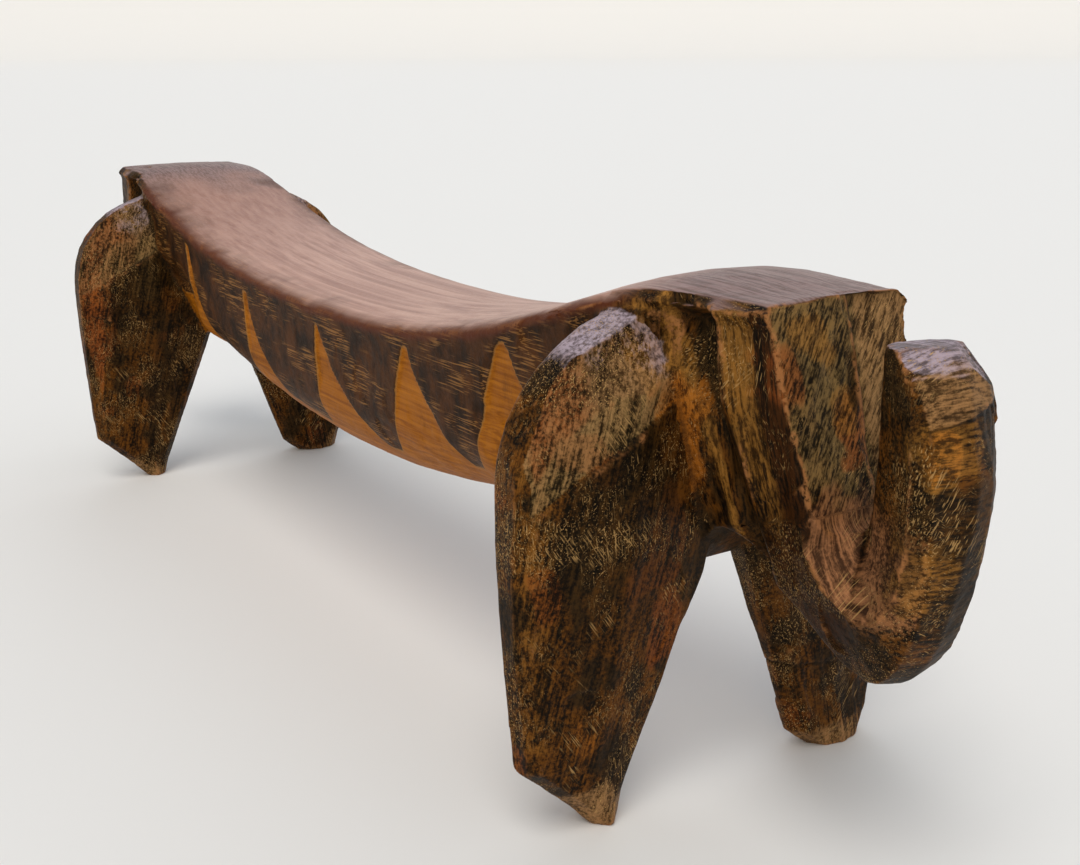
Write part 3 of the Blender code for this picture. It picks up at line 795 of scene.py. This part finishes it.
def grain_flow(skin, places):
    """Coordinates across, through and along the fibres at each point, in mm."""
    normals = skin.normals()
    x, y, z = skin.points.T / MM
    flow = np.stack([z, y, x], axis=1)
    spread = np.abs(y)
    lean = places.lean(CREST_OUT, CREST_LEAN) / MM
    neck = places.beam & (places.out > NECK_GRAIN) & (np.abs(normals[:, 2]) < 0.7)
    face = neck & (np.abs(normals[:, 0]) > 0.75)
    inside = places.hook & (np.abs(x) < TROUGH_X / MM) & (trough_floor(places, normals) > 0.1)
    runs = (
        (places.leg, spread + LEG_LEAN * z, x, z - LEG_LEAN * spread),
        (neck, lean, y, z),
        (face, y - FACE_LEAN * z, x, z + FACE_LEAN * y),
        (places.hook, z, x, y + HOOK_LEAN * z),
        (inside, y, np.zeros(len(x)), z - np.abs(x)),
    )
    for where, *across_through_along in runs:
        flow[where] = np.stack(across_through_along, axis=1)[where]
    return flow


# Materials

MIX_FIRST, MIX_SECOND, MIX_RESULT = 6, 7, 2


class Nodes:
    """Small helper that adds and links shader nodes."""

    def __init__(self, name):
        self.material = bpy.data.materials.new(name)
        self.material.use_nodes = True
        self.tree = self.material.node_tree
        self.shader = self.tree.nodes["Principled BSDF"]

    def fill(self, node, sockets):
        """Links and plain values for a node's sockets."""
        for key, value in sockets.items():
            if isinstance(value, bpy.types.NodeSocket):
                self.tree.links.new(value, node.inputs[key])
            else:
                node.inputs[key].default_value = value

    def add(self, kind, sockets, **settings):
        node = self.tree.nodes.new(kind)
        for key, value in settings.items():
            setattr(node, key, value)
        self.fill(node, sockets)
        return node

    def mask(self, name):
        return self.add("ShaderNodeAttribute", {}, attribute_name=name).outputs["Fac"]

    def cells(self, coordinates, sizes, turn=0.0):
        """Coordinates counted in cells of these sizes, turned about Y."""
        sockets = {"Vector": coordinates, "Rotation": (0.0, turn, 0.0), "Scale": sizes}
        return self.add("ShaderNodeMapping", sockets, vector_type="TEXTURE").outputs["Vector"]

    def place(self, sizes):
        """Object coordinates in cells; sizes in mm."""
        coordinates = self.add("ShaderNodeTexCoord", {}).outputs["Object"]
        return self.cells(coordinates, [MM * size for size in sizes])

    def flow(self, across, along, turn=0.0):
        """Fibre coordinates in cells; sizes in mm, turned from the fibres."""
        coordinates = self.add("ShaderNodeAttribute", {}, attribute_name="flow").outputs["Vector"]
        return self.cells(coordinates, (across, across, along), turn)

    def noise(self, vector, detail=3.0, roughness=0.55, distortion=0.0):
        sockets = {"Vector": vector, "Scale": 1.0, "Detail": detail, "Roughness": roughness}
        sockets["Distortion"] = distortion
        return self.add("ShaderNodeTexNoise", sockets).outputs["Fac"]

    def math(self, operation, first, second):
        return self.add("ShaderNodeMath", {0: first, 1: second}, operation=operation).outputs["Value"]

    def plus(self, first, second):
        return self.math("ADD", first, second)

    def minus(self, first, second):
        return self.math("SUBTRACT", first, second)

    def times(self, first, second):
        return self.math("MULTIPLY", first, second)

    def larger(self, first, second):
        return self.math("MAXIMUM", first, second)

    def between(self, value, low, high):
        """0 below low, easing to 1 above high; low may lie above high."""
        rising = low < high
        sockets = {"Value": value, "From Min": min(low, high), "From Max": max(low, high)}
        sockets.update({"To Min": 0.0 if rising else 1.0, "To Max": 1.0 if rising else 0.0})
        return self.add("ShaderNodeMapRange", sockets, interpolation_type="SMOOTHSTEP").outputs["Result"]

    def mix(self, share, first, second):
        """Blend of two colours; a Mix node keeps its colours in sockets of their own."""
        sockets = {"Factor": share, MIX_FIRST: first, MIX_SECOND: second}
        return self.add("ShaderNodeMix", sockets, data_type="RGBA").outputs[MIX_RESULT]


def colour(red, green, blue):
    """Linear colour from the 0 to 255 values of a display."""
    return tuple(((c / 255 + 0.055) / 1.055) ** 2.4 for c in (red, green, blue)) + (1.0,)


WORN_LIGHT = colour(190, 149, 130)
WORN_DARK = colour(150, 108, 92)
# darker colour that the top takes towards the rear
REAR_TOP = colour(132, 88, 70)
END_TOP = colour(130, 102, 95)
END_LINE = colour(76, 48, 36)
LIP = colour(88, 42, 24)
TONGUE = colour(28, 14, 4)
TONGUE_MID = colour(76, 42, 14)
HATCH = colour(156, 108, 56)
GOLD_WOOD = colour(172, 104, 20)
GOLD_DEEP = colour(128, 70, 8)
# painted highlight along the flutes' edges
FLUTE_EDGE_HIGHLIGHT = colour(172, 124, 64)
FIBRE = colour(188, 148, 92)
# Near black as painted shade in the creases and the crack; then the rims' colour, edge wear with a painted
# highlight
CREASE_SHADOW = colour(10, 7, 4)
RIM_WEAR_AND_GLINT = colour(168, 112, 66)
BUMP_STRENGTH, BUMP_HEIGHT = 0.6, 0.35 * MM
SHINE, SHINE_TINT = 0.11, (1.0, 0.7, 0.4, 1.0)

# Burnt wood: dark and light of its streaks, then those of each masked region
BURNT = (colour(3, 2, 1), colour(98, 58, 17))
SOOT = (colour(2, 1, 1), colour(46, 32, 15))
REGIONS = (
    ("dusk", colour(7, 3, 1), colour(56, 29, 8)),
    ("olive", colour(24, 18, 8), colour(132, 106, 64)),
    ("red", colour(32, 12, 3), colour(142, 74, 30)),
    ("rose", colour(58, 35, 22), colour(156, 106, 70)),
    ("gold", colour(64, 40, 13), colour(152, 104, 44)),
    ("amber", colour(84, 42, 7), colour(184, 108, 32)),
    # charred wood, and painted shade where a mask puts it
    ("char_and_shade", colour(3, 2, 1), colour(54, 36, 14)),
    ("pale", colour(76, 52, 28), colour(168, 126, 82)),
    # painted reflection: the lavender sheen that upward faces show under an overhead light
    ("painted_sheen", colour(98, 84, 86), colour(178, 162, 172)),
)


def worn_top(n):
    """Hand-polished saddle with long, low-contrast grain; darker lines on the two ends."""
    grain = n.noise(n.place((150, 2.6, 2.6)), detail=6.0, roughness=0.6, distortion=0.3)
    waves = n.noise(n.place((70, 9, 9)), detail=2.0, roughness=0.5, distortion=0.8)
    worn = n.mix(n.between(grain, 0.30, 0.70), WORN_DARK, WORN_LIGHT)
    worn = n.mix(n.times(n.between(waves, 0.44, 0.62), 0.35), worn, WORN_LIGHT)
    lines = n.between(n.noise(n.place((26, 0.9, 0.9)), detail=5.0, roughness=0.65), 0.44, 0.60)
    # darker towards the rear of the top
    worn = n.mix(n.times(n.mask("toward_rear"), 0.5), worn, REAR_TOP)
    ends = n.mix(n.times(lines, 0.75), END_TOP, END_LINE)
    return n.mix(n.mask("tops"), worn, ends)


def fluted_side(n, grain, patches, fine):
    """Dark hatched tongues between golden flutes, with a painted highlight along each edge."""
    hatch = n.noise(n.flow(0.42, 14.0), detail=1.0)
    rows = n.between(n.noise(n.flow(9.0, 16.0), detail=1.0), 0.42, 0.58)
    tongue = n.mix(n.between(patches, 0.36, 0.68), TONGUE, TONGUE_MID)
    lines = n.times(n.between(hatch, 0.52, 0.64), rows)
    tongue = n.mix(n.times(lines, 0.65), tongue, HATCH)
    gold = n.mix(n.between(grain, 0.3, 0.7), GOLD_DEEP, GOLD_WOOD)
    gold = n.mix(n.times(n.between(patches, 0.52, 0.7), 0.45), gold, TONGUE_MID)
    flute = n.plus(n.mask("flute"), n.times(n.minus(fine, 0.5), 0.10))
    side = n.mix(n.between(flute, 0.46, 0.57), tongue, gold)
    # painted highlight along the flutes' edges
    line = n.times(n.between(flute, 0.46, 0.50), n.between(flute, 0.58, 0.53))
    return n.mix(n.times(line, 0.35), side, FLUTE_EDGE_HIGHLIGHT)


def burnt_tones(n, patches, fibre):
    """Dark and light tone of the burnt wood's streaks, with soot and the masked regions."""
    ragged = n.minus(n.plus(n.times(patches, 1.3), n.times(fibre, 1.1)), 1.2)
    sooty = n.between(n.noise(n.place((13, 13, 18)), detail=5.0, roughness=0.66), 0.45, 0.57)
    sooty = n.times(sooty, 0.92)
    dark = n.mix(sooty, BURNT[0], SOOT[0])
    light = n.mix(sooty, BURNT[1], SOOT[1])
    for region, region_dark, region_light in REGIONS:
        mask = n.mask(region)
        share = n.times(n.between(n.plus(mask, ragged), 0.15, 0.55), mask)
        dark = n.mix(share, dark, region_dark)
        light = n.mix(share, light, region_light)
    return dark, light


def light_strokes(n):
    """Raised fibres, specks on the legs and rasp scratches, each in zones of its own."""
    along = n.noise(n.flow(0.30, 4.5, 0.35), detail=1.0)
    across = n.noise(n.flow(0.30, 3.5, -0.6), detail=1.0)
    rasp = n.noise(n.flow(0.36, 9.0, 0.85), detail=1.0)
    speck = n.noise(n.place((0.45, 0.45, 0.45)), detail=1.0)
    zone = n.between(n.noise(n.place((18, 18, 18)), detail=3.0, roughness=0.6), 0.45, 0.61)
    rasped = n.between(n.noise(n.place((26, 17, 17)), detail=2.0), 0.54, 0.66)
    strokes = n.larger(n.between(along, 0.64, 0.73), n.between(across, 0.66, 0.75))
    dots = n.times(n.between(speck, 0.63, 0.70), n.mask("leg"))
    strokes = n.times(n.larger(strokes, dots), zone)
    scratches = n.times(n.between(rasp, 0.56, 0.68), rasped)
    return n.larger(strokes, n.times(scratches, 0.8))


def burnt_ends(n, patches, strokes):
    """Fire-darkened, tool-marked wood of legs, necks and hooks."""
    fibre = n.noise(n.flow(0.75, 18.0), detail=4.0, roughness=0.62)
    band = n.noise(n.flow(2.4, 20.0), detail=3.0, roughness=0.6, distortion=0.4)
    grit = n.noise(n.place((1.0, 1.0, 1.0)), detail=4.0, roughness=0.7)
    dark, light = burnt_tones(n, patches, fibre)
    fibre_share = n.minus(0.7, n.times(n.mask("leg"), 0.3))
    streak = n.times(n.plus(grit, n.times(n.minus(fibre, grit), fibre_share)), 0.6)
    streak = n.plus(n.plus(streak, n.times(band, 0.2)), n.times(patches, 0.2))
    wood = n.mix(n.between(streak, 0.435, 0.575), dark, light)
    return n.mix(n.times(strokes, 0.78), wood, FIBRE)


def carved_wood(name):
    """Worn, fluted and burnt wood; the masks on the points say where each shows."""
    n = Nodes(name)
    grain = n.noise(n.place((40, 1.2, 1.2)), detail=5.0, roughness=0.65, distortion=0.5)
    patches = n.noise(n.place((8, 8, 12)), detail=7.0, roughness=0.68)
    fine = n.noise(n.place((1.3, 1.3, 1.3)), detail=3.0, roughness=0.6)
    strokes = light_strokes(n)
    burnt = burnt_ends(n, patches, strokes)
    wood = n.mix(n.mask("burnt"), fluted_side(n, grain, patches, fine), burnt)
    wood = n.mix(n.times(n.mask("lip"), 0.85), wood, LIP)
    wood = n.mix(n.mask("wear"), wood, worn_top(n))
    # painted shade in the creases and along the crack
    wood = n.mix(n.times(n.mask("crease_shade"), 0.8), wood, CREASE_SHADOW)
    # worn, nicked edges that also carry a painted highlight
    nicks_and_glints = n.times(n.mask("rim_wear_and_glint"), n.between(fine, 0.36, 0.55))
    wood = n.mix(n.times(nicks_and_glints, 0.65), wood, RIM_WEAR_AND_GLINT)

    gloss = n.between(n.mask("wear"), 1.0, 0.0)
    gloss = n.plus(n.times(gloss, 0.12), n.times(fine, 0.25))
    relief = n.plus(n.times(grain, 0.3), n.times(fine, 0.4))
    scratch = n.times(n.mask("burnt"), n.times(strokes, 0.5))
    sockets = {"Strength": BUMP_STRENGTH, "Distance": BUMP_HEIGHT, "Height": n.plus(relief, scratch)}
    bump = n.add("ShaderNodeBump", sockets).outputs["Normal"]
    n.fill(n.shader, {"Base Color": wood, "Roughness": n.plus(gloss, 0.28), "Normal": bump})
    n.fill(n.shader, {"Specular IOR Level": SHINE, "Specular Tint": SHINE_TINT})
    return n.material


# Pieces

def split_pieces(skin, tree, owner, nodes, masks):
    """One closed piece for each node, with the shared skin's normals so that no join shows."""
    mesh = skin.mesh
    mesh.vertices.foreach_set("co", skin.points.ravel())
    mesh.update()
    normals = skin.normals()
    face_node = np.array([owner[tree.find_nearest(p.center)[2]] for p in mesh.polygons])
    corners = [list(p.vertices) for p in mesh.polygons]
    pieces = {}
    for index, name in enumerate(nodes):
        faces = [corners[f] for f in np.flatnonzero(face_node == index)]
        used = np.unique(np.concatenate(faces))
        local = np.full(len(skin.points), -1)
        local[used] = np.arange(len(used))
        faces = [[int(local[v]) for v in face] for face in faces]
        pieces[name] = make_piece(name, skin.points[used], normals[used], faces,
                                  {key: values[used] for key, values in masks.items()})
    return pieces


def open_loops(faces):
    """Closed chains of corner pairs that only one face uses, in the order that a cap needs."""
    used = {(a, b) for face in faces for a, b in zip(face, face[1:] + face[:1])}
    following = {}
    for a, b in used:
        if (b, a) not in used:
            following.setdefault(b, []).append(a)
    loops = []
    while following:
        loop, place = [], min(following)
        while place in following:
            loop.append(place)
            onward = following[place]
            if len(onward) == 1:
                del following[place]
            place = onward.pop()
        loops.append(loop)
    return loops


def make_piece(name, points, normals, faces, masks):
    """Closed piece from its share of the skin; the openings at its joins are capped."""
    points, normals = list(map(tuple, points)), list(map(tuple, normals))
    loops = open_loops(faces)
    for loop in loops:
        middle = len(points)
        points.append(tuple(np.mean([points[i] for i in loop], axis=0)))
        normals.append(tuple(unit(np.mean([normals[i] for i in loop], axis=0) + 1e-6)))
        faces += [[a, b, middle] for a, b in zip(loop, loop[1:] + loop[:1])]
    mesh = bpy.data.meshes.new(name + "_carved")
    mesh.from_pydata(points, [], faces)
    for key, values in masks.items():
        caps = np.zeros((len(loops),) + values.shape[1:])
        values = np.concatenate([values, caps]).astype(np.float32)
        kind, field = ("FLOAT_VECTOR", "vector") if values.ndim == 2 else ("FLOAT", "value")
        mesh.attributes.new(key, kind, "POINT").data.foreach_set(field, values.ravel())
    mesh.shade_smooth()
    mesh.normals_split_custom_set_from_vertices(normals)
    return add_object(name + "_carved", mesh)


# Studio

CAMERA_PLACE = Vector((0.43277, -0.21684, 0.1885))
CAMERA_YAW, CAMERA_PITCH, CAMERA_ROLL = 0.997, 0.272, -0.003
CAMERA_LENS = 46.25
CAMERA_CLIP = 0.01
FLOOR_RADIUS, SWEEP, SWEEP_STEPS, FLOOR_SECTORS = 20.0, 6.0, 24, 96
FLOOR_TINT, FLOOR_ROUGHNESS = (0.80, 0.78, 0.74, 1.0), 0.8
SKY_TINT, SKY_STRENGTH = (0.86, 0.91, 1.0, 1.0), 0.52
# Suns: name, aim, strength, width in degrees, tint
SUNS = (
    ("back_sky", (0.9, -0.9, -1.0), 0.7, 60, (0.86, 0.92, 1.0)),
    ("key", (-0.45, 0.5, -1.22), 1.42, 34, (1.0, 0.98, 0.95)),
    ("front_fill", (-2.05, 1.5, -0.93), 0.65, 32, (1.0, 0.86, 0.66)),
)


def add_camera():
    """Camera at the photograph's viewing angle."""
    forward = Vector((
        -math.sin(CAMERA_YAW) * math.cos(CAMERA_PITCH),
        math.cos(CAMERA_YAW) * math.cos(CAMERA_PITCH),
        -math.sin(CAMERA_PITCH),
    ))
    right = Vector((math.cos(CAMERA_YAW), math.sin(CAMERA_YAW), 0.0))
    axes = Matrix((right, right.cross(forward), -forward)).transposed()
    camera = add_object("camera", bpy.data.cameras.new("camera"))
    camera.data.lens = CAMERA_LENS
    camera.data.sensor_fit = "HORIZONTAL"
    camera.data.clip_start = CAMERA_CLIP
    turned = axes @ Matrix.Rotation(CAMERA_ROLL, 3, "Z")
    camera.matrix_world = Matrix.Translation(CAMERA_PLACE) @ turned.to_4x4()
    bpy.context.scene.camera = camera


def add_sun(name, aim, strength, width, tint):
    """Even soft light over the whole floor; width is the angle that it fills, in degrees."""
    data = bpy.data.lights.new(name, "SUN")
    data.energy = strength
    data.angle = math.radians(width)
    data.color = tint
    light = add_object(name, data)
    light.rotation_euler = Vector(aim).to_track_quat("-Z", "Y").to_euler()


def add_floor():
    """Pale studio sweep: a round floor that rises on all sides."""
    profile = [(0.0, 0.0), (FLOOR_RADIUS, 0.0)]
    for step in range(1, SWEEP_STEPS + 1):
        angle = math.pi / 2 * step / SWEEP_STEPS
        profile.append((FLOOR_RADIUS + SWEEP * math.sin(angle), SWEEP * (1.0 - math.cos(angle))))
    shape = bmesh.new()
    corners = [shape.verts.new((radius, 0.0, height)) for radius, height in profile]
    edges = [shape.edges.new(pair) for pair in zip(corners, corners[1:])]
    bmesh.ops.spin(shape, geom=corners + edges, cent=(0, 0, 0), axis=(0, 0, 1), angle=math.tau,
                   steps=FLOOR_SECTORS)
    bmesh.ops.remove_doubles(shape, verts=shape.verts, dist=MM)
    mesh = bpy.data.meshes.new("floor")
    shape.to_mesh(mesh)
    shape.free()
    mesh.shade_smooth()
    pale = bpy.data.materials.new("pale_floor")
    pale.use_nodes = True
    surface = pale.node_tree.nodes["Principled BSDF"]
    surface.inputs["Base Color"].default_value = FLOOR_TINT
    surface.inputs["Roughness"].default_value = FLOOR_ROUGHNESS
    mesh.materials.append(pale)
    floor = add_object("floor", mesh)


def add_studio():
    add_floor()
    world = bpy.data.worlds.new("studio")
    bpy.context.scene.world = world
    world.use_nodes = True
    sky = world.node_tree.nodes["Background"]
    sky.inputs["Color"].default_value = SKY_TINT
    sky.inputs["Strength"].default_value = SKY_STRENGTH
    for sun in SUNS:
        add_sun(*sun)
    bpy.context.scene.view_settings.view_transform = "Standard"


# Building

def build():
    nodes = sorted(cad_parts)
    tree, owner = solids_tree(nodes)
    skin = Skin(remeshed_union(nodes))
    node_of = settle(skin, tree, owner)
    places, carved = carve(skin, nodes, node_of)
    masks = finish_masks(skin, places, carved)
    pieces = split_pieces(skin, tree, owner, nodes, masks)
    looks = {slot: carved_wood(slot) for slot in ("worn_wood", "burnt_wood")}
    for name, piece in pieces.items():
        slot = "worn_wood" if name == "saddle_beam" else "burnt_wood"
        piece.data.materials.append(looks[slot])
        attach(piece, "root")
        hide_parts(name)


build()
add_studio()
add_camera()
